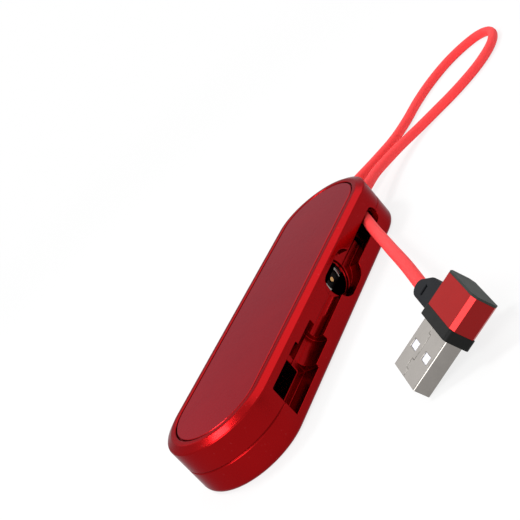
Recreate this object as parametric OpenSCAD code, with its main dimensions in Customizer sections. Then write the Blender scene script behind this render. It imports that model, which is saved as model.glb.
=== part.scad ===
// Keyring charging cable. A flat holder of two shells stores one round cable:
// a right-angle USB plug on one long side, a magnetic head on the other and a
// spare magnetic tip between them. The cable leaves one round end as a loop.
// X runs along the holder towards the loop, Y across it and Z out of its front face.

/* [Holder] */
// Length of the holder over its round ends
holder_len = 110; // [100:1:130]
// Width of the holder over its long sides
holder_w = 33.4; // [32:0.2:40]
// Thickness of the holder from its back face to its front rim
holder_t = 15.6; // [14.8:0.2:20]
// Radius of the rounded edge along the back face
edge_r = 1.8; // [0.8:0.1:2.4]
// Width of the bevel along the front face, measured across the rim
bevel_w = 2.1; // [1.2:0.1:2.5]
// Height of the bevel along the front face, measured down the side
bevel_h = 1.15; // [0.8:0.05:1.6]
// Thickness of the side walls
side_wall = 1.8; // [1.4:0.1:2.2]
// Thickness of the back face and of the web under the front panel
face_wall = 1.5; // [1.2:0.1:2]
// Thickness of the ribs that form the pockets inside
rib = 1.2; // [0.8:0.1:1.6]
// Width of the rim between the side and the front panel
rim_w = 3.5; // [2.6:0.1:6]
// Thickness of the front panel
panel_t = 0.8; // [0.5:0.1:1.2]
// Depth of the front panel below the rim
panel_sink = 0.1; // [0:0.05:0.3]
// Width of the groove round the front panel
panel_gap = 0.4; // [0.1:0.05:0.5]

/* [Cable] */
// Outer diameter of the round cable
cable_d = 3.3; // [3:0.1:3.6]
// Height of each side slot where the cable leaves the holder
slot_h = 4.6; // [4.2:0.1:5.6]
// Distance from the loop end to the round end of each side slot
slot_from_top = 16.2; // [15:0.1:18]
// Length of each side slot that opens into the hollow inside
slot_open = 11.8; // [10:0.1:13]
// Distance of each cable hole in the loop end from the middle
hole_y = 6; // [4:0.5:8]
// Width and depth of the fine groove along the parting line
groove = 0.15; // [0.1:0.05:0.3]
// Diameter of the alignment pegs between the shells
peg_d = 2.6; // [2:0.1:3]

/* [USB plug] */
// Width of the metal plug shell
shell_w = 12; // [11.8:0.1:12.2]
// Thickness of the metal plug shell
shell_t = 4.5; // [4.3:0.1:4.7]
// Sheet thickness of the metal plug shell
shell_wall = 0.3; // [0.2:0.05:0.4]
// Length of the plug shell that shows outside the head
shell_len = 12.8; // [11:0.1:14]
// Width of the plug head, along the cable
head_w = 13.6; // [13:0.1:15]
// Thickness of the plug head
head_t = 7.1; // [6.6:0.1:8]
// Length of the black collar of the plug head
collar_len = 2.7; // [1.6:0.1:3.2]
// Length of the metal sleeve of the plug head
sleeve_len = 8.3; // [7:0.1:10]
// Wall thickness of the metal sleeve
sleeve_wall = 0.6; // [0.4:0.1:0.8]
// Thickness of the end cap where it shows
cap_t = 0.5; // [0.3:0.1:1]
// Length of the strain relief outside the plug head, to the end where the cable leaves
relief_len = 9.7; // [9:0.1:11]
// Thickness of the strain relief
relief_t = 4.4; // [4.2:0.1:5]
// Turn of the loose plug about the vertical
plug_yaw = -56.6; // [-70:0.1:-45]
// Tilt of the loose plug's head above its shell
plug_pitch = -20.2; // [-26:0.1:-12]
// Turn of the loose plug about its own length
plug_roll = -170.4; // [-178:0.1:-160]

/* [Magnetic head and tip] */
// Diameter of the magnetic head
mag_d = 9; // [8.4:0.1:9.2]
// Length of the magnetic head
mag_len = 8.6; // [8:0.1:9]
// Height of the stowed magnetic head above the holder's side
mag_proud = 1.1; // [0.6:0.1:2]
// Distance from the low end to the axis of the magnetic head
mag_from_low = 32.3; // [30:0.1:36]
// Diameter of the spare tip
tip_d = 9; // [8.4:0.1:9.2]
// Length of the spare tip's round body
tip_len = 4.4; // [4:0.1:5]
// Depth of the spare tip's face below the holder's side
tip_deep = 4.6; // [4.2:0.1:5.4]
// Distance from the loop end to the axis of the spare tip
tip_from_top = 44.7; // [43:0.1:48]
// Width of the spare tip's connector
connector_w = 8.3; // [7.6:0.1:8.4]
// Thickness of the spare tip's connector
connector_t = 2.5; // [2.2:0.1:2.8]
// Length of the spare tip's connector
connector_len = 6.6; // [6:0.1:7]
// Diameter of the gold contact pins
pin_d = 1.4; // [1:0.1:1.8]
// Width of the finger scoop round the spare tip
scoop_w = 0.6; // [0.4:0.1:0.8]
// Reach of the finger scoop from the tip's axis towards the loop
scoop_loop = 7.9; // [7:0.1:9]
// Reach of the scoop's front half from the tip's axis towards the low end
scoop_front = 11.2; // [9:0.1:12]
// Reach of the scoop's back half from the tip's axis towards the low end
scoop_back = 7; // [6:0.1:9]

/* [Pockets] */
// Distance from the low end to the end wall of the plug pocket
pocket_from_low = 17.2; // [17:0.1:20]
// Depth of the plug pocket from the holder's side
pocket_d = 4.9; // [4.4:0.1:5.6]
// Height of the plug pocket
pocket_h = 9.2; // [8.8:0.1:10]
// Length of the plug pocket beyond the plug head
pocket_play = 2.9; // [2:0.1:3.4]
// Play round the plug shell in its socket
socket_play = 1.1; // [0.6:0.1:1.2]
// Offset of the socket's middle from the stowed plug's, towards the loop
socket_shift = 0.8; // [0.2:0.1:1]
// Length of the rounded trough beyond the stowed strain relief
trough_play = 2.3; // [0.5:0.1:2.6]
// Radius of the rounded trough for the strain relief
trough_r = 3.6; // [3.2:0.1:3.9]
// Depth of the stowed cable's axis below the holder's side
cable_deep = 1.55; // [1.2:0.05:2]
// Reach of the magnetic head's strain relief from the head's axis
mag_relief_out = 11.4; // [9:0.1:13]
// Clearance between a stowed piece and its pocket
fit = 0.2; // [0.1:0.05:0.3]

/* [Hidden] */

$fn = 48;
// Length by which a cutter runs past the face that it opens
over = 1;
mid = holder_t / 2;
side = holder_w / 2;
low = -holder_len / 2;
top = holder_len / 2;
panel_z = holder_t - panel_sink - panel_t;
roof = panel_z - face_wall;
cable_r = cable_d / 2;

// Pockets along the plug side
pocket_x0 = low + pocket_from_low;
pocket_x1 = pocket_x0 + head_w + pocket_play;
trough_x1 = pocket_x0 + head_w + relief_len + trough_play;
pocket_floor = -side + pocket_d;
socket_w = shell_w + 2 * socket_play;
socket_h = shell_t + 2 * fit;
socket_x = pocket_x0 + head_w / 2 + socket_shift;
tip_x = top - tip_from_top;
slot_x1 = top - slot_from_top;
slot_x0 = slot_x1 - slot_open;
scoop_r = tip_d / 2 + scoop_w;
bay_y = side - cable_deep;
slot_deep = cable_deep + cable_r + fit;

// Magnetic head on the far side
mag_x = low + mag_from_low;
mag_face = side + mag_proud - mag_len;
mag_relief_x = mag_x + mag_relief_out;

// Peg places along the middle of the holder
peg_inset = 9;
peg_step = 14;
peg_tip_step = 15.5;
peg_xs = [low + peg_inset, pocket_x1 + peg_step, tip_x + peg_tip_step, top - peg_inset];
peg_boss = peg_d + 2 * rib;
peg_len = 3;
peg_room = 0.5;
peg_clear = 0.05;

// Loose plug: its own X runs from the shell's mouth to the end cap, its cable leaves along -Y
relief_bore = 3.4;
relief_x0 = shell_len + 0.75;
relief_x1 = relief_x0 + 6.5;
relief_axis = relief_x0 + relief_t / 2;
relief_root = -head_w / 2 + sleeve_wall;
relief_end = -head_w / 2 - relief_len;
relief_slant = 33.6;
sleeve_x0 = shell_len + collar_len;
sleeve_x1 = sleeve_x0 + sleeve_len;
head_r = 1.1;
plug_rest = 0.02;
plug_z = shell_w / 2 * abs(cos(plug_pitch) * sin(plug_roll))
    + shell_t / 2 * abs(cos(plug_pitch) * cos(plug_roll)) + plug_rest;
plug_at = [-39.1, -51.8, plug_z];

// Turns a point of the plug's own frame into the holder's frame
function about_x(p, a) = [p.x, p.y * cos(a) - p.z * sin(a), p.y * sin(a) + p.z * cos(a)];
function about_y(p, a) = [p.x * cos(a) + p.z * sin(a), p.y, -p.x * sin(a) + p.z * cos(a)];
function about_z(p, a) = [p.x * cos(a) - p.y * sin(a), p.x * sin(a) + p.y * cos(a), p.z];
function plug_point(p) =
    plug_at + about_z(about_y(about_x(p, plug_roll), plug_pitch), plug_yaw);

// The cable's centre line, from the plug through the holder and the loop to the magnetic head
floor_z = cable_r + 0.05;
lead_route = [
    plug_point([relief_axis, relief_end + relief_bore, 0]),
    plug_point([relief_axis, relief_end - 1, 0]),
    [-9, -48, 12.1],
    [-3, -43.5, 12.2],
    [3.5, -38.5, 11.8],
    [10, -33.6, 10.9],
    [17, -28.3, 9.9],
    [24, -23, 8.9],
    [30.5, -18.2, 8.1]
];
inner_route = [
    [36.5, -13.9, mid],
    [41.5, -10.3, mid],
    [47, -7.3, mid]
];
loop_route = [
    [top - 2, -hole_y, mid],
    [58, -6.2, 7.5],
    [66.5, -5.6, 6.6],
    [75.5, -6.2, 5.2],
    [85, -7.7, 3.7],
    [94.5, -10.6, 2.3],
    [102.5, -14.7, floor_z],
    [109, -19.6, floor_z],
    [115.5, -23.4, floor_z],
    [122, -26.3, floor_z],
    [129.5, -28.2, floor_z],
    [137, -28.6, floor_z],
    [144, -27.1, floor_z],
    [149, -23.5, floor_z],
    [150, -18.5, floor_z],
    [146.5, -13, floor_z],
    [140, -8, floor_z],
    [130, -4, floor_z],
    [119, -1.7, floor_z],
    [106.5, -0.8, 1.8],
    [94, -0.4, 2.8],
    [82, 1.1, 4.3],
    [70, 3, 6],
    [60.5, 5.2, 7.2]
];
side_route = [
    [top - 2, hole_y, mid],
    [47, 7.1, mid],
    [41, 10.9, mid],
    [36, 13.6, mid],
    [31, 15.2, mid],
    [25, 16.1, mid],
    [18, 16.5, mid],
    [11, 16.5, mid],
    [4, 16, mid],
    [-2, 15.4, mid],
    [mag_relief_x + 1, bay_y, mid],
    [mag_relief_x - relief_bore, bay_y, mid]
];
route = concat(lead_route, inner_route, loop_route, side_route);
lead_end = len(lead_route);
loop_start = lead_end + len(inner_route);
loop_end = loop_start + len(loop_route);

// Smooth curve through four neighbouring route points
function curve(a, b, c, d, t) =
    0.5 * (2 * b + (c - a) * t + (2 * a - 5 * b + 4 * c - d) * t * t
        + (3 * b - a - 3 * c + d) * t * t * t);
function slope(a, b, c, d, t) =
    0.5 * (c - a + 2 * (2 * a - 5 * b + 4 * c - d) * t
        + 3 * (3 * b - a - 3 * c + d) * t * t);
function neighbours(i) = [
    i == 0 ? 2 * route[0] - route[1] : route[i - 1],
    route[i],
    route[min(i + 1, len(route) - 1)],
    route[min(i + 2, len(route) - 1)]
];
function unit(v) = v / norm(v);
function ring(centre, along, sides) =
    let (across = unit(cross([0, 0, 1], along)), up = cross(unit(along), across))
    [for (k = [0:sides - 1]) centre
        + cable_r * (cos(360 * k / sides) * across + sin(360 * k / sides) * up)];

// One run of the cable between two points of the whole route
module cable_run(first, last, per_span, sides = 8) {
    steps = (last - first) * per_span;
    rings = [for (s = [0:steps])
        let (at = min(first + floor(s / per_span), last - 1), t = first + s / per_span - at,
            n = neighbours(at))
        ring(curve(n[0], n[1], n[2], n[3], t), slope(n[0], n[1], n[2], n[3], t), sides)];
    skin = [for (s = [0:steps - 1]) for (k = [0:sides - 1])
        let (a = s * sides + k, b = s * sides + (k + 1) % sides)
        [a, a + sides, b + sides, b]];
    ends = [[for (k = [0:sides - 1]) k], [for (k = [sides - 1:-1:0]) steps * sides + k]];
    color([0.95, 0.29, 0.3])
        polyhedron([for (r = rings) each r], concat(skin, ends), convexity = 8);
}

// Flat outline with rounded corners
module round_rect(w, h, r) {
    square([w - 2 * r, h], center = true);
    square([w, h - 2 * r], center = true);
    for (x = [-1, 1])
        for (y = [-1, 1])
            translate([x * (w / 2 - r), y * (h / 2 - r)])
                circle(r);
}

// Straight-sided plate with two round ends, standing on z = 0
module stadium(len, w, h) {
    translate([-(len - w) / 2, -w / 2, 0])
        cube([len - w, w, h]);
    for (x = [-1, 1])
        translate([x * (len - w) / 2, 0, 0])
            cylinder(h = h, d = w, $fn = 96);
}

// Section across the holder: rounded back edges, straight sides and bevelled front edges
module holder_section() {
    for (x = [-1, 1])
        translate([x * (side - edge_r), edge_r])
            circle(edge_r);
    translate([edge_r - side, 0])
        square([holder_w - 2 * edge_r, edge_r]);
    polygon([
        [-side, edge_r], [side, edge_r],
        [side, holder_t - bevel_h], [side - bevel_w, holder_t],
        [bevel_w - side, holder_t], [-side, holder_t - bevel_h]
    ]);
}

// Outer form of the whole closed holder
module holder_form() {
    straight = holder_len - holder_w;
    for (end = [0, 180])
        rotate([0, 0, end])
            translate([straight / 2, 0, 0])
                rotate([0, 0, -90])
                    rotate_extrude(angle = 180, $fn = 96)
                        intersection() {
                            holder_section();
                            square([side, holder_t]);
                        }
    translate([-straight / 2, 0, 0])
        rotate([90, 0, 90])
            linear_extrude(straight)
                holder_section();
}

// Bar with one rounded long edge that lies inwards: the trough that holds a cable
module trough(x0, x1, r, centre, grow) {
    translate([x0, centre, mid])
        rotate([0, 90, 0])
            cylinder(h = x1 - x0, r = r + grow);
    translate([x0, min(centre, sign(centre) * (side + over)), mid - r - grow])
        cube([x1 - x0, side + over - abs(centre), 2 * (r + grow)]);
}

// Pocket for the stowed USB plug: head, strain relief and shell socket
module plug_bay(grow) {
    translate([pocket_x0 - grow, -side - over, mid - pocket_h / 2 - grow])
        cube([pocket_x1 - pocket_x0 + 2 * grow, pocket_d + over + grow, pocket_h + 2 * grow]);
    trough(pocket_x1 - over, trough_x1 + grow, trough_r, pocket_floor - trough_r, grow);
    translate([socket_x - socket_w / 2 - grow, pocket_floor - over, mid - socket_h / 2 - grow])
        cube([socket_w + 2 * grow, shell_len + fit + over + grow, socket_h + 2 * grow]);
}

// Pocket for the spare tip, with the socket that its connector plugs into
module tip_bay(grow) {
    seat = -side + tip_deep + tip_len;
    translate([tip_x, -side - over, mid])
        rotate([-90, 0, 0]) {
            cylinder(h = tip_deep + over - fit + grow, r = scoop_r + grow);
            cylinder(h = tip_deep + tip_len + over + grow, r = tip_d / 2 + fit + grow);
        }
    translate([tip_x - connector_w / 2 - fit - grow, seat - over, mid - connector_t / 2 - fit - grow])
        cube([connector_w + 2 * (fit + grow), connector_len + fit + over + grow,
            connector_t + 2 * (fit + grow)]);
}

// Half of the finger scoop round the spare tip: a flat-floored recess with round ends
module scoop_half(reach, z0, grow) {
    x0 = tip_x - reach + scoop_r;
    x1 = tip_x + scoop_loop - scoop_r;
    deep = over + slot_deep + grow;
    intersection() {
        union() {
            for (x = [x0, x1])
                translate([x, -side - over, mid])
                    rotate([-90, 0, 0])
                        cylinder(h = deep, r = scoop_r + grow);
            translate([x0, -side - over, mid - scoop_r - grow])
                cube([x1 - x0, deep, 2 * (scoop_r + grow)]);
        }
        translate([low, -side - 2 * over, z0 - grow])
            cube([holder_len, side, mid + 2 * grow]);
    }
}

// Finger scoop, longer in the front shell than in the back shell
module finger_scoop(grow) {
    scoop_half(scoop_front, mid, grow);
    scoop_half(scoop_back, 0, grow);
}

// Pocket for the stowed magnetic head and its strain relief
module magnet_bay(grow) {
    translate([mag_x, mag_face - 1.3 - grow, mid])
        rotate([-90, 0, 0])
            cylinder(h = side + over - mag_face + 1.3 + grow, d = mag_d + 2 * fit + 2 * grow);
    trough(mag_x, mag_relief_x + fit + grow, relief_t / 2 + 2 * fit, bay_y, grow);
}

// Troughs that keep the stowed cable along both sides
module cable_bays(grow) {
    trough(trough_x1 - over, tip_x, cable_r + fit, -bay_y, grow);
    translate([tip_x, -side - over, mid - slot_h / 2 - grow])
        cube([slot_x0 - tip_x, over + slot_deep + grow, slot_h + 2 * grow]);
    trough(mag_relief_x - over, slot_x0, cable_r + fit, bay_y, grow);
}

module bays(grow) {
    plug_bay(grow);
    tip_bay(grow);
    finger_scoop(grow);
    magnet_bay(grow);
    cable_bays(grow);
}

// Openings of the side walls and of the loop end that the cable passes through
module cable_exits() {
    through = side_wall + 2 * over;
    straight = slot_open - slot_h / 2;
    for (y = [-1, 1]) {
        translate([slot_x0, y * (side - side_wall / 2) - through / 2, mid]) {
            translate([0, 0, -slot_h / 2])
                cube([straight, through, slot_h]);
            translate([straight, 0, 0])
                rotate([-90, 0, 0])
                    cylinder(h = through, d = slot_h);
        }
        translate([top - peg_inset + over, y * hole_y, mid])
            rotate([0, 90, 0])
                cylinder(h = peg_inset, r = cable_r + 2 * fit);
    }
}

// Space inside the holder that is left round the ribs and peg bosses
module hollow() {
    difference() {
        translate([0, 0, face_wall])
            stadium(holder_len - 2 * side_wall, holder_w - 2 * side_wall, roof - face_wall);
        bays(rib);
        for (x = peg_xs)
            translate([x, 0, 0])
                cylinder(h = holder_t, d = peg_boss);
    }
}

module shell_block(z0, z1) {
    difference() {
        intersection() {
            holder_form();
            translate([low - over, -side - over, z0])
                cube([holder_len + 2 * over, holder_w + 2 * over, z1 - z0]);
        }
        hollow();
        bays(0);
        cable_exits();
    }
}

module front_shell() {
    color([0.6, 0.04, 0.07]) {
        difference() {
            shell_block(mid, holder_t);
            translate([0, 0, panel_z])
                stadium(holder_len - 2 * rim_w, holder_w - 2 * rim_w, panel_t + over);
        }
        for (x = peg_xs)
            translate([x, 0, mid - peg_len])
                cylinder(h = peg_len + over, d = peg_d);
    }
}

// Fine groove round the holder just below its parting plane
module parting_groove() {
    translate([0, 0, mid - groove])
        difference() {
            stadium(holder_len + 2 * over, holder_w + 2 * over, groove + over);
            stadium(holder_len - 2 * groove, holder_w - 2 * groove, groove + over);
        }
}

module back_shell() {
    color([0.55, 0.04, 0.07])
        difference() {
            shell_block(0, mid);
            parting_groove();
            for (x = peg_xs)
                translate([x, 0, mid - peg_len - peg_room])
                    cylinder(h = peg_len + peg_room + over, d = peg_d + 2 * peg_clear);
        }
}

module front_panel() {
    inset = rim_w + panel_gap;
    color([0.62, 0.12, 0.15])
        translate([0, 0, panel_z])
            stadium(holder_len - 2 * inset, holder_w - 2 * inset, panel_t);
}

// Places a piece of the loose plug: X from the shell's mouth to the cap, Y along the cable
module in_plug() {
    translate(plug_at)
        rotate([plug_roll, plug_pitch, plug_yaw])
            children();
}

// Bar along the plug's X with a rounded section
module plug_bar(x0, x1, w, t, r) {
    translate([x0, 0, 0])
        rotate([90, 0, 90])
            linear_extrude(x1 - x0)
                round_rect(w, t, r);
}

shell_in = 1.5;
shell_r = 0.5;
window_x = 5.7;
window_len = 2;
window_w = 2.7;
window_y = 3.1;
seam_w = 0.12;
seam_jogs = [[0, 1.95, -0.2], [1.95, 4.3, -1.15], [4.3, 10.85, -0.2], [10.85, shell_len, -1.15]];

module usb_shell() {
    face = -shell_t / 2;
    color([0.66, 0.65, 0.62])
        in_plug()
            difference() {
                plug_bar(0, shell_len + shell_in, shell_w, shell_t, shell_r);
                plug_bar(-over, shell_len + shell_in + over, shell_w - 2 * shell_wall,
                    shell_t - 2 * shell_wall, shell_r - 0.2);
                for (y = [-window_y, window_y])
                    translate([window_x, y - window_w / 2, -shell_t])
                        cube([window_len, window_w, 2 * shell_t]);
                for (s = seam_jogs)
                    translate([s[0], s[2] - seam_w / 2, face - over])
                        cube([s[1] - s[0], seam_w, over + shell_wall / 2]);
                for (k = [0:2])
                    translate([seam_jogs[k][1] - seam_w / 2, -1.15 - seam_w / 2, face - over])
                        cube([seam_w, 0.95 + seam_w, over + shell_wall / 2]);
            }
}

// Plastic tongue against the seamed face of the shell
tongue_t = 1.9;
tongue_z = -shell_t / 2 + shell_wall;
tongue_x0 = 0.4;
contact_t = 0.2;
contact_w = 1;
contact_ys = [-3.5, -1, 1, 3.5];

module usb_tongue() {
    width = shell_w - 2 * shell_wall - 2 * shell_r;
    color([0.9, 0.9, 0.94])
        in_plug()
            difference() {
                translate([tongue_x0, -width / 2, tongue_z])
                    cube([shell_len + shell_in - tongue_x0, width, tongue_t]);
                for (y = contact_ys)
                    translate([tongue_x0 - over, y - contact_w / 2, tongue_z + tongue_t - contact_t])
                        cube([shell_len + 2 * over + shell_in, contact_w, contact_t + over]);
            }
}

module usb_contacts() {
    color([0.85, 0.68, 0.3])
        in_plug()
            for (y = contact_ys) {
                start = tongue_x0 + (abs(y) > 2 ? 0.6 : 1.6);
                translate([start, y - contact_w / 2, tongue_z + tongue_t - contact_t])
                    cube([shell_len + shell_in - start, contact_w, contact_t]);
            }
}

// Strain relief: a flat tongue with one round corner and one long slant at its end
module relief_block() {
    r = relief_t / 2;
    bend = [relief_axis, relief_end + r];
    slant_x = bend.x + r * cos(relief_slant);
    slant_y = bend.y - r * sin(relief_slant);
    arc_steps = 12;
    arc = [for (k = [0:arc_steps])
        let (a = -relief_slant - k * (180 - relief_slant) / arc_steps)
        bend + r * [cos(a), sin(a)]];
    translate([0, 0, -r])
        linear_extrude(relief_t)
            polygon([
                [relief_x0, relief_root], [relief_x1, relief_root],
                [relief_x1, slant_y + (relief_x1 - slant_x) / tan(relief_slant)],
                each arc
            ]);
}

module plug_core() {
    core_w = head_w - 2 * sleeve_wall;
    core_t = head_t - 2 * sleeve_wall;
    color([0.13, 0.13, 0.14])
        in_plug()
            difference() {
                union() {
                    plug_bar(shell_len, sleeve_x0, head_w, head_t, head_r);
                    plug_bar(sleeve_x0, sleeve_x1 - 1, core_w, core_t, head_r - sleeve_wall);
                }
                plug_bar(shell_len - over, shell_len + shell_in, shell_w, shell_t, shell_r);
                translate([relief_x0, -head_w, -relief_t / 2])
                    cube([relief_x1 - relief_x0, head_w + relief_root, relief_t]);
            }
}

module plug_sleeve() {
    color([0.65, 0.07, 0.09])
        in_plug()
            difference() {
                plug_bar(sleeve_x0, sleeve_x1, head_w, head_t, head_r);
                plug_bar(sleeve_x0 - over, sleeve_x1 + over, head_w - 2 * sleeve_wall,
                    head_t - 2 * sleeve_wall, head_r - sleeve_wall);
                translate([sleeve_x0 - over, -head_w, -relief_t / 2])
                    cube([relief_x1 - sleeve_x0 + over, head_w / 2 + 2, relief_t]);
            }
}

module plug_cap() {
    color([0.28, 0.28, 0.29])
        in_plug() {
            plug_bar(sleeve_x1, sleeve_x1 + cap_t, head_w, head_t, head_r);
            plug_bar(sleeve_x1 - 1, sleeve_x1, head_w - 2 * sleeve_wall, head_t - 2 * sleeve_wall,
                head_r - sleeve_wall);
        }
}

module plug_relief() {
    slit_w = 0.7;
    slit_len = 2.6;
    slit_deep = 0.9;
    slit_x0 = relief_x0 + slit_len / 2;
    slit_y0 = relief_end + relief_bore + slit_w / 2;
    color([0.15, 0.15, 0.16])
        in_plug()
            difference() {
                relief_block();
                translate([relief_axis, relief_end + relief_bore, 0])
                    rotate([90, 0, 0])
                        cylinder(h = relief_bore + over, d = cable_d);
                for (z = [-1, 1])
                    translate([slit_x0, slit_y0, z * relief_t / 2 - slit_deep])
                        cube([slit_len, slit_w, 2 * slit_deep]);
            }
}

// Places a piece of the magnetic head: its face at z = 0, outwards along Z
module in_magnet_head() {
    translate([mag_x, mag_face, mid])
        rotate([-90, 0, 0])
            children();
}

mag_wall = 0.6;
mag_cap = 0.8;
mag_bore = mag_d - 2 * mag_wall;
ring_hole = 5;
face_t = 1.2;
pin_reach = 0.3;
pin_deep = 3;
rim_bevel = 0.5;
cable_out = bay_y - mag_face;
mag_relief_len = mag_relief_x - mag_x;

module magnet_sleeve() {
    color([0.55, 0.06, 0.08])
        in_magnet_head()
            difference() {
                union() {
                    cylinder(h = mag_len - rim_bevel, d = mag_d);
                    translate([0, 0, mag_len - rim_bevel])
                        cylinder(h = rim_bevel, d1 = mag_d, d2 = mag_d - 2 * rim_bevel);
                }
                translate([0, 0, -over])
                    cylinder(h = mag_len - mag_cap + over, d = mag_bore);
                translate([0, -relief_t / 2, cable_out - relief_t / 2])
                    cube([mag_d, relief_t, relief_t]);
            }
}

module magnet_core() {
    color([0.12, 0.12, 0.13])
        in_magnet_head()
            difference() {
                union() {
                    translate([0, 0, face_t])
                        cylinder(h = mag_len - mag_cap - face_t, d = mag_bore);
                    translate([0, 0, face_t / 2])
                        cylinder(h = face_t, d = ring_hole);
                }
                cylinder(h = pin_deep, d = pin_d);
                translate([mag_bore / 2 - 1, -relief_t / 2, cable_out - relief_t / 2])
                    cube([mag_d, relief_t, relief_t]);
            }
}

module magnet_ring() {
    color([0.74, 0.73, 0.7])
        in_magnet_head()
            difference() {
                cylinder(h = face_t, d = mag_bore);
                translate([0, 0, -over])
                    cylinder(h = face_t + 2 * over, d = ring_hole);
            }
}

module magnet_pin() {
    color([0.86, 0.7, 0.32])
        in_magnet_head()
            translate([0, 0, -pin_reach])
                cylinder(h = pin_deep + pin_reach, d = pin_d);
}

module magnet_relief() {
    color([0.15, 0.15, 0.16])
        in_magnet_head()
            difference() {
                translate([mag_bore / 2 - 1, 0, cable_out])
                    rotate([90, 0, 90])
                        linear_extrude(mag_relief_len - mag_bore / 2 + 1)
                            round_rect(relief_t, relief_t, relief_t / 2 - 0.1);
                translate([mag_relief_len - relief_bore, 0, cable_out])
                    rotate([0, 90, 0])
                        cylinder(h = relief_bore + over, d = cable_d);
            }
}

// Places a piece of the spare tip: its face at z = 0, outwards along Z
module in_tip() {
    translate([tip_x, -side + tip_deep, mid])
        rotate([90, 0, 0])
            children();
}

tip_wall = 0.5;
tip_recess = 1.6;
tip_ring_t = 0.9;
tip_ring_sink = 0.15;
tip_face_sink = 0.9;
tip_pin_sink = 0.4;
tip_bore = tip_d - 2 * tip_wall;
tip_inner = tip_bore - 2 * tip_ring_t;

module tip_housing() {
    color([0.1, 0.1, 0.11])
        in_tip()
            difference() {
                translate([0, 0, -tip_len])
                    cylinder(h = tip_len, d = tip_d);
                translate([0, 0, -tip_recess])
                    cylinder(h = tip_recess + over, d = tip_bore);
            }
}

module tip_ring() {
    color([0.7, 0.68, 0.66])
        in_tip()
            translate([0, 0, -tip_recess])
                difference() {
                    cylinder(h = tip_recess - tip_ring_sink, d = tip_bore);
                    translate([0, 0, -over])
                        cylinder(h = tip_recess + 2 * over, d = tip_inner);
                }
}

module tip_insulator() {
    color([0.14, 0.13, 0.13])
        in_tip()
            translate([0, 0, -tip_recess])
                difference() {
                    cylinder(h = tip_recess - tip_face_sink, d = tip_inner);
                    translate([0, 0, -over])
                        cylinder(h = tip_recess + 2 * over, d = pin_d);
                }
}

module tip_pin() {
    color([0.86, 0.7, 0.32])
        in_tip()
            translate([0, 0, -tip_recess])
                cylinder(h = tip_recess - tip_pin_sink, d = pin_d);
}

module tip_connector() {
    color([0.72, 0.71, 0.69])
        in_tip()
            translate([0, 0, -tip_len - connector_len])
                difference() {
                    linear_extrude(connector_len)
                        round_rect(connector_w, connector_t, connector_t / 2 - 0.05);
                    translate([0, 0, -over])
                        linear_extrude(connector_len + over - 1)
                            round_rect(connector_w - 0.7, connector_t - 0.7, connector_t / 2 - 0.4);
                }
}

front_shell();
back_shell();
front_panel();
usb_shell();
usb_tongue();
usb_contacts();
plug_core();
plug_sleeve();
plug_cap();
plug_relief();
magnet_sleeve();
magnet_core();
magnet_ring();
magnet_pin();
magnet_relief();
tip_housing();
tip_ring();
tip_insulator();
tip_pin();
tip_connector();
cable_run(0, lead_end, 1);  // plug_lead
cable_run(lead_end, loop_start, 2);  // inner_lead
cable_run(loop_start, loop_end, 1);  // wrist_loop
cable_run(loop_end, len(route) - 1, 1);  // side_lead
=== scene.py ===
"""Looks of a keyring charging cable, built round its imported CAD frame.

A flat red holder of two shells stores one round cable. Its right-angle USB plug lies pulled out
beside it, its magnetic head is stowed on the far side, and a spare tip sits in its near side.
"""

import logging
import math
from dataclasses import dataclass
from enum import Enum
from typing import Any

import bmesh
import bpy
from mathutils import Matrix, Vector


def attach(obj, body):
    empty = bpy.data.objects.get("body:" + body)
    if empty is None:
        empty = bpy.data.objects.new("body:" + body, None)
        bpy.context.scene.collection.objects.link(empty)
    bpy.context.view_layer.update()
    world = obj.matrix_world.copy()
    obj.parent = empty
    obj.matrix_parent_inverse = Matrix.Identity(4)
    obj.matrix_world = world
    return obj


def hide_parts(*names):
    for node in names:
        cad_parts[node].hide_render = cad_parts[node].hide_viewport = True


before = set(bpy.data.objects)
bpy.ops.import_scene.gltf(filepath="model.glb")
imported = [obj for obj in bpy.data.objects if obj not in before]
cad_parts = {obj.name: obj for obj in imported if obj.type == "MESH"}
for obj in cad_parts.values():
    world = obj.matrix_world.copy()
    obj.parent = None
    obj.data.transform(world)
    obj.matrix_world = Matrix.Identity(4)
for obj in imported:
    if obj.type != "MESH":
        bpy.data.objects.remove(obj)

LOG = logging.getLogger("keyring_cable")
BODY = "root"
MM = 0.001
Colour = tuple[float, float, float]
Point = tuple[float, float, float]


def tone(red: int, green: int, blue: int) -> Colour:
    """Turns a colour as a screen shows it into the linear one that a shader takes.

    Args:
        red: The red value, from 0 to 255.
        green: The green value.
        blue: The blue value.

    Returns:
        The linear colour.
    """
    shares = [value / 255 for value in (red, green, blue)]
    return tuple(s / 12.92 if s <= 0.04045 else ((s + 0.055) / 1.055) ** 2.4 for s in shares)


# Shaders


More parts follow.
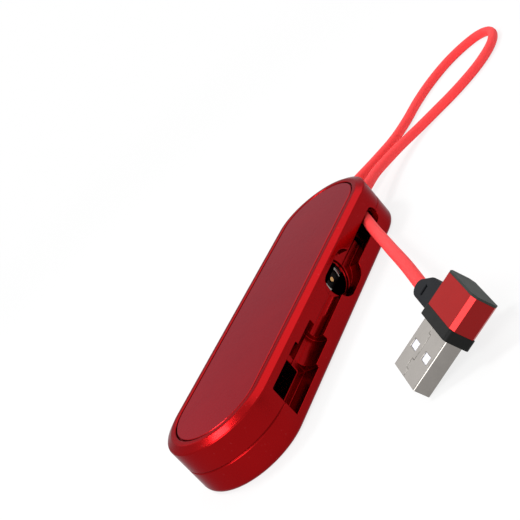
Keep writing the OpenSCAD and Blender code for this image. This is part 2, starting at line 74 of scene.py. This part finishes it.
class Wire:
    """A node's output, on which Python's operators add Math nodes."""

    def __init__(self, nodes: "Nodes", socket: bpy.types.NodeSocket | None) -> None:
        """Wraps a socket of the tree that nodes holds."""
        self.nodes = nodes
        self.socket = socket

    def maths(self, operation: str, *terms: "Wire | float") -> "Wire":
        """Adds one Math node.

        Args:
            operation: The Math node's operation.
            terms: Its values, in order.

        Returns:
            The node's output.
        """
        return self.nodes.node("Math", {"operation": operation}, dict(enumerate(terms)))

    def __add__(self, other: "Wire | float") -> "Wire":
        """Returns the sum."""
        return self.maths("ADD", self, other)

    __radd__ = __add__

    def __sub__(self, other: "Wire | float") -> "Wire":
        """Returns the difference."""
        return self.maths("SUBTRACT", self, other)

    def __rsub__(self, other: "Wire | float") -> "Wire":
        """Returns the difference from a number."""
        return self.maths("SUBTRACT", other, self)

    def __mul__(self, other: "Wire | float") -> "Wire":
        """Returns the product."""
        return self.maths("MULTIPLY", self, other)

    __rmul__ = __mul__

    def between(self, low: float, high: float) -> "Wire":
        """Returns a smooth step from 0 at low to 1 at high."""
        return self.nodes.node(
            "MapRange", {"interpolation_type": "SMOOTHSTEP"},
            {"Value": self, "From Min": low, "From Max": high},
        )


class Nodes:
    """A node tree, and the one way in which nodes are added to it."""

    def __init__(self, tree: bpy.types.NodeTree) -> None:
        """Takes over a tree and empties it."""
        self.tree = tree
        tree.nodes.clear()

    def node(
        self, kind: str, settings: dict[str, Any] | None = None,
        inputs: dict[int | str, Any] | None = None, output: int | str = 0,
    ) -> Wire:
        """Adds a node.

        Args:
            kind: The node's type, without its ShaderNode prefix.
            settings: Attributes that are set first.
            inputs: Values or wires by socket.
            output: The output that is wanted.

        Returns:
            That output, or an empty wire for a node that has none.
        """
        made = self.tree.nodes.new("ShaderNode" + kind)
        for name, value in (settings or {}).items():
            setattr(made, name, value)
        for key, value in (inputs or {}).items():
            socket = made.inputs[key]
            if isinstance(value, Wire):
                self.tree.links.new(value.socket, socket)
            else:
                socket.default_value = (*value, 1) if socket.type == "RGBA" else value
        return Wire(self, made.outputs[output] if made.outputs else None)

    def seen(self) -> Wire:
        """Returns 1 for rays that show a surface straight, mirrored or through glass."""
        return (self.node("LightPath", output="Is Camera Ray")
                + self.node("LightPath", output="Is Glossy Ray")
                + self.node("LightPath", output="Is Transmission Ray"))


class Shader(Nodes):
    """Builds one material's node tree. Sizes are in millimetres."""

    def __init__(self, name: str) -> None:
        """Starts an empty material.

        Args:
            name: The material's name.
        """
        self.material = bpy.data.materials.new(name)
        self.material.use_nodes = True
        super().__init__(self.material.node_tree)

    def place(self, stretch: Point = (1, 1, 1)) -> Wire:
        """Reads the piece's own coordinates in metres.

        Args:
            stretch: What each axis is multiplied by.

        Returns:
            The coordinates.
        """
        place = self.node("TexCoord", output="Object")
        if stretch == (1, 1, 1):
            return place
        return self.node("VectorMath", {"operation": "MULTIPLY"}, {0: place, 1: stretch})

    def noise(self, size: float, detail: float = 2.0, stretch: Point = (1, 1, 1)) -> Wire:
        """Draws noise from 0 to 1.

        Args:
            size: The size of its largest blobs.
            detail: The number of finer layers.
            stretch: What each axis is multiplied by, so that a small number draws streaks.

        Returns:
            The noise value.
        """
        scale = 1 / (size * MM)
        inputs = {"Vector": self.place(stretch), "Scale": scale, "Detail": detail}
        return self.node("TexNoise", None, inputs)

    def mix(self, share: Wire | float, first: Any, second: Any) -> Wire:
        """Returns two colours mixed by a share."""
        return self.node("Mix", {"data_type": "RGBA"}, {0: share, 6: first, 7: second}, 2)

    def bump(self, height: Wire, depth: float) -> Wire:
        """Returns a normal bent by a height from 0 to 1, whose full step is depth."""
        return self.node("Bump", None, {"Distance": depth * MM, "Height": height})

    def plain(self, **sockets: Any) -> Wire:
        """Returns a Principled shader, its sockets named with _ for each space."""
        inputs = {name.replace("_", " "): value for name, value in sockets.items()}
        return self.node("BsdfPrincipled", None, inputs)

    def surface(self, **sockets: Any) -> None:
        """Puts a Principled shader on the material's output."""
        self.node("OutputMaterial", None, {"Surface": self.plain(**sockets)})


# Finishes


@dataclass(frozen=True)
class Finish:
    """A finish that a piece wears, and the record's slot that it stands for.

    The sizes and depths of its patterns are in millimetres.
    """

    name: str
    slot: str
    colour: Colour

    def material(self) -> bpy.types.Material:
        """Makes the finish's material when it is first asked for.

        Returns:
            The material.
        """
        made = bpy.data.materials.get(self.name)
        if made is None:
            shader = Shader(self.name)
            self.paint(shader)
            made = shader.material
        return made

    def paint(self, shader: Shader) -> None:
        """Draws the finish's nodes."""
        raise NotImplementedError

    def shades(self, dark: float, light: float) -> tuple[Colour, Colour]:
        """Returns the colour made darker and lighter by two factors."""
        return tuple(c * dark for c in self.colour), tuple(c * light for c in self.colour)


@dataclass(frozen=True)
class Lacquer(Finish):
    """Metallic red lacquer with fine flakes, over moulded shells."""

    roughness: float
    coat: float
    edge: Colour
    flake: float = 0.08
    drift: float = 11.0
    skin: float = 0.7
    skin_depth: float = 0.0008
    speck: float = 0.5
    speck_colour: Colour = tone(200, 90, 95)

    def paint(self, shader: Shader) -> None:
        """Draws flakes, slow drifts of colour, a few pale specks and an even skin.

        Args:
            shader: The shader of the finish's material.
        """
        flakes = shader.noise(self.flake, 1.0)
        drift = shader.noise(self.drift, 3.0)
        skin = shader.noise(self.skin, 3.0)
        specks = shader.noise(self.speck, 0.0).between(0.8, 0.86)
        dark, light = self.shades(0.86, 1.16)
        body = shader.mix(flakes * 0.5 + drift * 0.5, dark, light)
        shader.surface(
            Base_Color=shader.mix(specks * 0.12, body, self.speck_colour),
            Metallic=1.0,
            Roughness=self.roughness + (flakes - 0.5) * 0.06 + (drift - 0.5) * 0.05,
            Coat_Weight=self.coat,
            Coat_Roughness=0.1,
            Specular_Tint=self.edge,
            Normal=shader.bump(skin, self.skin_depth),
        )


@dataclass(frozen=True)
class Anodised(Finish):
    """Red anodised aluminium with a fine satin grain along the sleeve."""

    roughness: float = 0.24
    edge: Colour = (1.0, 0.5, 0.5)
    grain: float = 0.05
    grain_depth: float = 0.001
    grain_run: Point = (0.05, 1, 1)
    cloud: float = 4.0

    def paint(self, shader: Shader) -> None:
        """Draws the satin grain in colour, gloss and height.

        Args:
            shader: The shader of the finish's material.
        """
        grain = shader.noise(self.grain, 3.0, self.grain_run)
        cloud = shader.noise(self.cloud)
        dark, light = self.shades(0.86, 1.14)
        shader.surface(
            Base_Color=shader.mix(grain * 0.5 + cloud * 0.5, dark, light),
            Metallic=1.0,
            Roughness=self.roughness + (grain - 0.5) * 0.1 + (cloud - 0.5) * 0.05,
            Coat_Weight=0.2,
            Coat_Roughness=0.15,
            Specular_Tint=self.edge,
            Normal=shader.bump(grain, self.grain_depth),
        )


@dataclass(frozen=True)
class Jacket(Finish):
    """The cable's smooth, matt rubber jacket."""

    roughness: float = 0.6
    rub_colour: Colour = tone(255, 104, 100)
    mottle: float = 3.0
    rub: float = 1.2
    skin: float = 0.12
    skin_depth: float = 0.004

    def paint(self, shader: Shader) -> None:
        """Draws faint mottling, rub marks and an extruded skin.

        Args:
            shader: The shader of the finish's material.
        """
        mottle = shader.noise(self.mottle, 3.0)
        skin = shader.noise(self.skin)
        rubbed = shader.noise(self.rub, 1.0).between(0.62, 0.75)
        dark, light = self.shades(0.95, 1.03)
        body = shader.mix(mottle, dark, light)
        shader.surface(
            Base_Color=shader.mix(rubbed * 0.1, body, self.rub_colour),
            Roughness=self.roughness + (mottle - 0.5) * 0.12 + rubbed * 0.05,
            Specular_IOR_Level=0.16,
            Subsurface_Weight=0.06,
            Subsurface_Radius=(0.002, 0.0005, 0.0005),
            Subsurface_Scale=1.0,
            Normal=shader.bump(skin, self.skin_depth),
        )


@dataclass(frozen=True)
class Moulded(Finish):
    """Moulded plastic or rubber with a fine spark-eroded texture."""

    roughness: float
    specular: float = 0.14
    grain: float = 0.09
    grain_depth: float = 0.006
    handled: float = 3.5

    def paint(self, shader: Shader) -> None:
        """Draws the texture, and a slight change of gloss where it was handled.

        Args:
            shader: The shader of the finish's material.
        """
        texture = shader.noise(self.grain)
        handled = shader.noise(self.handled)
        dark, light = self.shades(0.8, 1.22)
        shader.surface(
            Base_Color=shader.mix(texture * 0.5 + handled * 0.5, dark, light),
            Roughness=self.roughness + (handled - 0.5) * 0.16,
            Specular_IOR_Level=self.specular,
            Normal=shader.bump(texture, self.grain_depth),
        )


@dataclass(frozen=True)
class Plated(Finish):
    """Plated metal, lightly brushed lengthways."""

    roughness: float = 0.22
    brush: float = 0.06
    brush_depth: float = 0.0008
    brush_run: Point = (0.03, 1, 1)
    stain: float = 2.6

    def paint(self, shader: Shader) -> None:
        """Draws brush lines and a slight stain.

        Args:
            shader: The shader of the finish's material.
        """
        lines = shader.noise(self.brush, 2.0, self.brush_run)
        stain = shader.noise(self.stain, 3.0)
        dark, light = self.shades(0.86, 1.14)
        shader.surface(
            Base_Color=shader.mix(stain * 0.7 + lines * 0.3, dark, light),
            Metallic=1.0,
            Roughness=self.roughness + (lines - 0.5) * 0.1 + (stain - 0.5) * 0.08,
            Normal=shader.bump(lines, self.brush_depth),
        )


RED_SHELL = Lacquer("red_lacquer_shell", "red_shell", (0.25, 0.0035, 0.0045),
                    roughness=0.27, coat=0.02, edge=(0.6, 0.54, 0.56))
RED_PANEL = Lacquer("red_lacquer_panel", "red_panel", (0.29, 0.007, 0.009),
                    roughness=0.28, coat=0.04, edge=(0.58, 0.56, 0.6))
RED_SLEEVE = Anodised("red_anodised", "red_sleeve", (0.235, 0.006, 0.006))
CORAL = Jacket("coral_jacket", "red_cable", tone(250, 68, 70))
BLACK = Moulded("black_satin", "black_plastic", tone(14, 15, 14), 0.5, specular=0.12)
GREY = Moulded("grey_matt", "grey_plastic", tone(38, 44, 41), 0.6, specular=0.17)
SOFT_BLACK = Moulded("black_overmould", "black_rubber", tone(18, 20, 24), 0.66)
WHITE = Moulded("white_plastic", "white_plastic", tone(180, 184, 216), 0.4,
                specular=0.3, grain_depth=0.003)
NICKEL = Plated("brushed_nickel", "plated_steel", (0.26, 0.243, 0.226))
GOLD = Plated("gold_plate", "gold_contact", tone(196, 158, 104))


# Meshes

# How far two faces turn where they meet, in degrees
FLAT_TURN = 1.2     # up to this they are one flat face
ROUND_TURN = 10.0   # up to this they may be two steps of a round corner
DULL_TURN = 24.0    # from this they meet in a dull edge
RIM_TURN = 30.0     # from this they may meet at the rim of a round corner
SHARP_TURN = 32.0   # from this they meet in a sharp edge
CREASE_TURN = 34.0  # from this the shading breaks


def own(name: str, data: Any, finish: Finish, node: str) -> bpy.types.Object:
    """Puts a piece of the object in the scene.

    Args:
        name: The piece's name.
        data: Its mesh or curve.
        finish: What it is made of.
        node: The CAD node that it stands for.

    Returns:
        The piece, riding on the body.
    """
    piece = bpy.data.objects.new(name, data)
    bpy.context.scene.collection.objects.link(piece)
    data.materials.append(finish.material())
    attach(piece, BODY)
    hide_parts(node)
    return piece


def turns(shape: bmesh.types.BMesh) -> dict[bmesh.types.BMEdge, float]:
    """Returns how far a shape's faces turn at each edge, in degrees."""
    return {edge: math.degrees(edge.calc_face_angle()) for edge in shape.edges}


def cut_corners(shape: bmesh.types.BMesh) -> None:
    """Cuts small round corners flat.

    The vertices along each corner's rim move onto the straight line between the rim's ends.

    Args:
        shape: The shape that has the corners.
    """
    turn = turns(shape)
    # The steps of the corners turn about alike, and further than those of any other curve
    least = 0.75 * max(angle for angle in turn.values() if angle < ROUND_TURN)
    left = [v for v in shape.verts if any(least < turn[e] < ROUND_TURN for e in v.link_edges)]
    while left:
        chain = [left.pop()]
        ends = []
        for vert in chain:
            for other in (e.other_vert(vert) for e in vert.link_edges if turn[e] > RIM_TURN):
                if other in left:
                    left.remove(other)
                    chain.append(other)
                elif other not in chain:
                    ends.append(other.co)
        if len(ends) == 2:
            along = (ends[1] - ends[0]).normalized()
            for vert in chain:
                vert.co = ends[0] + along * (vert.co - ends[0]).dot(along)


@dataclass(frozen=True)
class Easing:
    """Makes finer pieces of CAD nodes' own faces, with each sharp edge eased.

    An edge is eased by less where there is little room beside it. Lengths are in millimetres.

    Attributes:
        width: The width of an eased sharp edge.
        steps: The segments across it.
        gentle: The width of an eased dull edge.
        gentle_steps: The segments across that one.
        flat_corners: Whether small round corners are cut flat.
        weld: How close two vertices are that become one.
        share: The share of the room beside an edge that its easing may take.
    """

    width: float
    steps: int = 2
    gentle: float = 0.0
    gentle_steps: int = 4
    flat_corners: bool = False
    weld: float = 0.002
    share: float = 0.4

    def piece(self, node: str, name: str, finish: Finish) -> bpy.types.Object:
        """Makes one piece.

        Args:
            node: The CAD node that it replaces.
            name: The piece's name.
            finish: What it is made of.

        Returns:
            The piece.
        """
        shape = self.clean(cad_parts[node].data)
        if self.flat_corners:
            cut_corners(shape)
        dull = self.weigh(shape)
        if self.gentle:
            bmesh.ops.bevel(
                shape, geom=dull, offset=self.gentle / 2 * MM, segments=self.gentle_steps,
                affect="EDGES", profile=0.5, clamp_overlap=True, loop_slide=False,
            )
        mesh = bpy.data.meshes.new(name)
        shape.to_mesh(mesh)
        shape.free()
        piece = own(name, mesh, finish, node)
        self.ease(piece)
        return piece

    def clean(self, mesh: bpy.types.Mesh) -> bmesh.types.BMesh:
        """Copies a mesh, with its vertices welded and its flat faces whole.

        Args:
            mesh: The CAD node's mesh.

        Returns:
            The shape.
        """
        shape = bmesh.new()
        shape.from_mesh(mesh)
        bmesh.ops.remove_doubles(shape, verts=shape.verts[:], dist=self.weld * MM)
        bmesh.ops.dissolve_limit(
            shape, angle_limit=math.radians(FLAT_TURN), verts=shape.verts[:],
            edges=shape.edges[:],
        )
        return shape

    def weigh(self, shape: bmesh.types.BMesh) -> list[bmesh.types.BMEdge]:
        """Notes on each sharp edge how wide its easing may be.

        Args:
            shape: The shape.

        Returns:
            The dull edges.
        """
        sharp = shape.edges.layers.float.new("sharp_width")
        dull = []
        for edge, turn in turns(shape).items():
            across = min(face.calc_area() / edge.calc_length() for face in edge.link_faces)
            beside = min(e.calc_length() for vert in edge.verts for e in vert.link_edges)
            if turn > SHARP_TURN:
                edge[sharp] = min(1.0, self.share * min(across, beside) / (self.width * MM))
            elif turn > DULL_TURN:
                dull.append(edge)
        return dull

    def ease(self, piece: bpy.types.Object) -> None:
        """Rounds a piece's sharp edges and levels the shading of its faces.

        Args:
            piece: The piece.
        """
        rounding = piece.modifiers.new("eased_edges", "BEVEL")
        rounding.width = self.width * MM
        rounding.segments = self.steps
        rounding.limit_method = "WEIGHT"
        rounding.edge_weight = "sharp_width"
        rounding.use_clamp_overlap = False
        rounding.loop_slide = False
        rounding.miter_outer = "MITER_ARC"
        piece.data.shade_smooth()
        piece.data.set_sharp_from_angle(angle=math.radians(CREASE_TURN))
        level = piece.modifiers.new("level_faces", "WEIGHTED_NORMAL")
        level.keep_sharp = True
        level.weight = 100


# The cable


class Run(Enum):
    """The runs of the one cable, by their CAD nodes."""

    LEAD = "plug_lead"
    INSIDE = "inner_lead"
    LOOP = "wrist_loop"
    SIDE = "side_lead"


@dataclass
class Cable:
    """The round cable, from the USB plug through the holder and its loop to the magnetic head.

    Attributes:
        diameter: The cable's diameter in millimetres.
        low: The height of its centre line where it lies on the surface.
        mid: The height of its centre line in the holder.
        span_steps: The straight stretches between two points of the route.
        round_steps: How finely its section is rounded.
    """

    diameter: float = 3.3
    low: float = 1.7
    mid: float = 7.8
    span_steps: int = 10
    round_steps: int = 6

    def runs(self) -> dict[Run, list[Point]]:
        """Lists the route's points in millimetres, as the part's source has them.

        Returns:
            The points of each run, on the way from the plug to the magnetic head.
        """
        low = self.low
        mid = self.mid
        return {
            Run.LEAD: [
                (-20.595, -56.4, 10.53), (-17.113, -53.8, 11.219), (-9, -48, 12.1),
                (-3, -43.5, 12.2), (3.5, -38.5, 11.8), (10, -33.6, 10.9), (17, -28.3, 9.9),
                (24, -23, 8.9), (30.5, -18.2, 8.1),
            ],
            Run.INSIDE: [(36.5, -13.9, mid), (41.5, -10.3, mid), (47, -7.3, mid)],
            Run.LOOP: [
                (53, -6, mid), (58, -6.2, 7.5), (66.5, -5.6, 6.6), (75.5, -6.2, 5.2),
                (85, -7.7, 3.7), (94.5, -10.6, 2.3), (102.5, -14.7, low), (109, -19.6, low),
                (115.5, -23.4, low), (122, -26.3, low), (129.5, -28.2, low), (137, -28.6, low),
                (144, -27.1, low), (149, -23.5, low), (150, -18.5, low), (146.5, -13, low),
                (140, -8, low), (130, -4, low), (119, -1.7, low), (106.5, -0.8, 1.8),
                (94, -0.4, 2.8), (82, 1.1, 4.3), (70, 3, 6), (60.5, 5.2, 7.2),
            ],
            Run.SIDE: [
                (53, 6, mid), (47, 7.1, mid), (41, 10.9, mid), (36, 13.6, mid), (31, 15.2, mid),
                (25, 16.1, mid), (18, 16.5, mid), (11, 16.5, mid), (4, 16, mid),
                (-2, 15.4, mid), (-10.3, 15.15, mid), (-14.7, 15.15, mid),
            ],
        }

    @staticmethod
    def curve(a: Vector, b: Vector, c: Vector, d: Vector, t: float) -> Vector:
        """Returns the point at share t between b and c on a smooth line through four points."""
        return 0.5 * (2 * b + (c - a) * t + (2 * a - 5 * b + 4 * c - d) * t * t
                      + (3 * b - a - 3 * c + d) * t * t * t)

    def line(self, points: list[Vector], first: int, last: int) -> list[Vector]:
        """Draws the smooth centre line between two numbered points of the route.

        Args:
            points: The whole route.
            first: The number of the point where the line starts.
            last: The number of the point where it ends.

        Returns:
            The line's own points.
        """
        found = []
        for i in range(first, last):
            before = points[i - 1] if i else 2 * points[0] - points[1]
            after = points[min(i + 2, len(points) - 1)]
            found += [self.curve(before, points[i], points[i + 1], after, k / self.span_steps)
                      for k in range(self.span_steps)]
        return found + [points[last]]

    def tube(self, line: list[Vector], run: Run) -> bpy.types.Object:
        """Makes one run's tube.

        Args:
            line: Its centre line.
            run: The run that it stands for.

        Returns:
            The piece.
        """
        name = "cable_" + run.name.lower()
        data = bpy.data.curves.new(name, "CURVE")
        data.dimensions = "3D"
        data.bevel_depth = self.diameter / 2 * MM
        data.bevel_resolution = self.round_steps
        data.use_fill_caps = True
        spline = data.splines.new("POLY")
        spline.points.add(len(line) - 1)
        for point, place in zip(spline.points, line):
            point.co = (*place, 1)
        spline.use_smooth = True
        return own(name, data, CORAL, run.value)

    def build(
        self, plug: list[bpy.types.Object], head: list[bpy.types.Object],
    ) -> list[bpy.types.Object]:
        """Makes the cable's four runs and logs the length of each.

        Args:
            plug: The pieces of the USB plug. Not used.
            head: The pieces of the magnetic head. Not used.

        Returns:
            The runs.
        """
        runs = self.runs()
        points = [Vector(point) * MM for stretch in runs.values() for point in stretch]
        made = []
        first = 0
        for run, stretch in runs.items():
            last = min(first + len(stretch), len(points) - 1)
            line = self.line(points, first, last)
            first = last
            piece = self.tube(line, run)
            made.append(piece)
            length = sum((b - a).length for a, b in zip(line, line[1:]))
            LOG.info("%s: %.0f mm of cable", piece.name, length / MM)
        return made


# The rigid pieces


@dataclass
class Holder:
    """The two closed shells and the panel let into the front one."""

    front: Easing = Easing(0.26, gentle=0.7)
    back: Easing = Easing(0.26)
    panel: Easing = Easing(0.24, steps=3)

    def build(self) -> list[bpy.types.Object]:
        """Makes the shells and the panel.

        Returns:
            The pieces.
        """
        return [
            self.front.piece("front_shell", "holder_front_shell", RED_SHELL),
            self.back.piece("back_shell", "holder_back_shell", RED_SHELL),
            self.panel.piece("front_panel", "holder_panel", RED_PANEL),
        ]


@dataclass
class UsbPlug:
    """The right-angle USB plug."""

    shell: Easing = Easing(0.16)
    tongue: Easing = Easing(0.06, steps=1)
    contacts: Easing = Easing(0.04, steps=1)
    collar: Easing = Easing(0.2)
    sleeve: Easing = Easing(0.2, flat_corners=True)
    relief: Easing = Easing(0.6, steps=4)

    def build(self) -> list[bpy.types.Object]:
        """Makes the metal shell, its tongue and contacts, and the head.

        Returns:
            The pieces.
        """
        return [
            self.shell.piece("usb_shell", "plug_metal_shell", NICKEL),
            self.tongue.piece("usb_tongue", "plug_tongue", WHITE),
            self.contacts.piece("usb_contacts", "plug_contacts", GOLD),
            self.collar.piece("plug_core", "plug_collar", BLACK),
            self.sleeve.piece("plug_sleeve", "plug_red_sleeve", RED_SLEEVE),
            self.sleeve.piece("plug_cap", "plug_end_cap", GREY),
            self.relief.piece("plug_relief", "plug_strain_relief", SOFT_BLACK),
        ]


@dataclass
class MagneticHead:
    """The stowed magnetic head on the far side of the holder."""

    easing: Easing = Easing(0.16)

    def build(self) -> list[bpy.types.Object]:
        """Makes the head's sleeve, face and strain relief.

        Returns:
            The pieces.
        """
        return [
            self.easing.piece("magnet_sleeve", "head_red_sleeve", RED_SLEEVE),
            self.easing.piece("magnet_core", "head_core", BLACK),
            self.easing.piece("magnet_ring", "head_magnet_ring", NICKEL),
            self.easing.piece("magnet_pin", "head_pin", GOLD),
            self.easing.piece("magnet_relief", "head_strain_relief", SOFT_BLACK),
        ]


@dataclass
class SpareTip:
    """The spare magnetic tip in the holder's side."""

    easing: Easing = Easing(0.14)
    insulator: Easing = Easing(0.05)
    connector: Easing = Easing(0.08)

    def build(self) -> list[bpy.types.Object]:
        """Makes the tip's housing, contacts and connector.

        Returns:
            The pieces.
        """
        return [
            self.easing.piece("tip_housing", "tip_housing_ring", BLACK),
            self.easing.piece("tip_ring", "tip_metal_ring", NICKEL),
            self.insulator.piece("tip_insulator", "tip_inner_face", BLACK),
            self.easing.piece("tip_pin", "tip_centre_pin", GOLD),
            self.connector.piece("tip_connector", "tip_plug", NICKEL),
        ]


# The studio


@dataclass(frozen=True)
class Lamp:
    """A square soft light that faces the holder.

    Attributes:
        name: The lamp's name.
        place: Where it hangs, in metres.
        size: The length of its sides.
        radiance: How bright its face looks, where 1 is white.
        target: The point that it faces.
    """

    name: str
    place: Point
    size: float
    radiance: float
    target: Point = (0.02, -0.01, 0)

    def hang(self) -> None:
        """Hangs the light."""
        data = bpy.data.lights.new(self.name, "AREA")
        data.size = self.size
        data.energy = self.radiance * math.pi * self.size ** 2
        light = bpy.data.objects.new(self.name, data)
        bpy.context.scene.collection.objects.link(light)
        light.location = self.place
        aim = Vector(self.target) - Vector(self.place)
        light.rotation_mode = "QUATERNION"
        light.rotation_quaternion = aim.to_track_quat("-Z", "Y")


@dataclass
class Studio:
    """The pale floor, the soft lights and the camera of the photograph.

    Attributes:
        lens: The camera's focal length in millimetres, on a sensor of sensor_width.
        sensor_width: The width of its sensor.
        clip: The nearest and the furthest that it sees, in metres.
        eye: The camera's place.
        right: The direction to the right of its picture.
        up: The direction to the top of its picture.
        back: The direction from what it sees to the camera.
        floor_half: Half the side of the floor.
        floor_tones: The two colours of the floor's grain.
        floor_grain: The size of the grain in millimetres.
        shadow: The share of the object's shadow that the floor keeps.
        shadow_reach: How far from the holder it starts to fade, and where it is gone.
        glow: The strength of the room's light.
        lamps: The soft lights.
    """

    lens: float = 75.48
    sensor_width: float = 36.0
    clip: tuple[float, float] = (0.01, 20.0)
    eye: Point = (-0.19888, -0.18921, 0.11547)
    right: Point = (0.35134, -0.68902, -0.63388)
    up: Point = (0.62272, -0.33359, 0.70777)
    back: Point = (-0.69913, -0.64340, 0.31186)
    floor_half: float = 3.0
    floor_tones: tuple[Colour, Colour] = ((0.9, 0.9, 0.9), (0.93, 0.93, 0.93))
    floor_grain: float = 4.0
    shadow: float = 0.2
    shadow_reach: tuple[float, float] = (0.12, 0.5)
    glow: float = 0.35
    lamps: tuple[Lamp, ...] = (
        Lamp("overhead", (-0.05, 0.19, 0.57), 0.13, 28.0),
        Lamp("beyond_loop", (0.48, -0.04, 0.60), 0.6, 1.6),
        Lamp("far_side", (0.25, 0.53, 0.47), 0.3, 0.75),
        Lamp("low_end", (-0.51, -0.08, 0.36), 0.34, 6.4),
        Lamp("front_fill", (-0.5, -0.5, 0.35), 0.5, 0.45),
    )

    def camera(self) -> None:
        """Makes the camera at the photograph's place."""
        data = bpy.data.cameras.new("camera")
        data.sensor_width = self.sensor_width
        data.lens = self.lens
        data.clip_start, data.clip_end = self.clip
        eye = bpy.data.objects.new("camera", data)
        bpy.context.scene.collection.objects.link(eye)
        turn = Matrix((self.right, self.up, self.back)).transposed()
        eye.matrix_world = Matrix.Translation(self.eye) @ turn.to_4x4()
        bpy.context.scene.camera = eye

    def floor(self) -> None:
        """Lays the floor."""
        mesh = bpy.data.meshes.new("floor")
        half = self.floor_half
        corners = [(-half, -half, 0), (half, -half, 0), (half, half, 0), (-half, half, 0)]
        mesh.from_pydata(corners, [], [(0, 1, 2, 3)])
        plane = bpy.data.objects.new("floor", mesh)
        bpy.context.scene.collection.objects.link(plane)
        mesh.materials.append(self.floor_material())

    def floor_material(self) -> bpy.types.Material:
        """Draws a floor that shows white and keeps part of the object's shadow near it.

        Returns:
            The floor's material.
        """
        shader = Shader("pale_floor")
        lit = shader.plain(
            Base_Color=shader.mix(shader.noise(self.floor_grain, 3.0), *self.floor_tones),
            Roughness=0.9, Specular_IOR_Level=0.0,
        )
        away = shader.node("VectorMath", {"operation": "LENGTH"}, {0: shader.place()}, "Value")
        keep = (1 - away.between(*self.shadow_reach)) * self.shadow
        white = shader.node("Emission", None, {"Color": (1, 1, 1), "Strength": 1.0})
        shown = shader.node("MixShader", None, {0: shader.seen() * (1 - keep), 1: lit, 2: white})
        shader.node("OutputMaterial", None, {"Surface": shown})
        return shader.material

    def room(self) -> None:
        """Fills the room with even light, and shows white behind the object."""
        world = bpy.data.worlds.new("room")
        bpy.context.scene.world = world
        world.use_nodes = True
        nodes = Nodes(world.node_tree)
        strength = nodes.node("MapRange", None, {"Value": nodes.seen(), "To Min": self.glow})
        white = nodes.node("Background", None, {"Color": (1, 1, 1), "Strength": strength})
        nodes.node("OutputWorld", None, {"Surface": white})

    def build(self) -> None:
        """Sets up the whole studio."""
        self.camera()
        self.floor()
        self.room()
        for lamp in self.lamps:
            lamp.hang()
        bpy.context.scene.view_settings.view_transform = "Standard"


def main() -> None:
    """Builds the studio and every piece, and reports each one."""
    logging.basicConfig(level=logging.INFO, format="%(name)s: %(message)s")
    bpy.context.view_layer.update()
    Studio().build()
    plug = UsbPlug().build()
    head = MagneticHead().build()
    cable = Cable().build(plug, head)
    for piece in [*cable, *Holder().build(), *plug, *head, *SpareTip().build()]:
        LOG.info("%s: made of %s", piece.name, piece.data.materials[0].name)


if __name__ == "__main__":
    main()
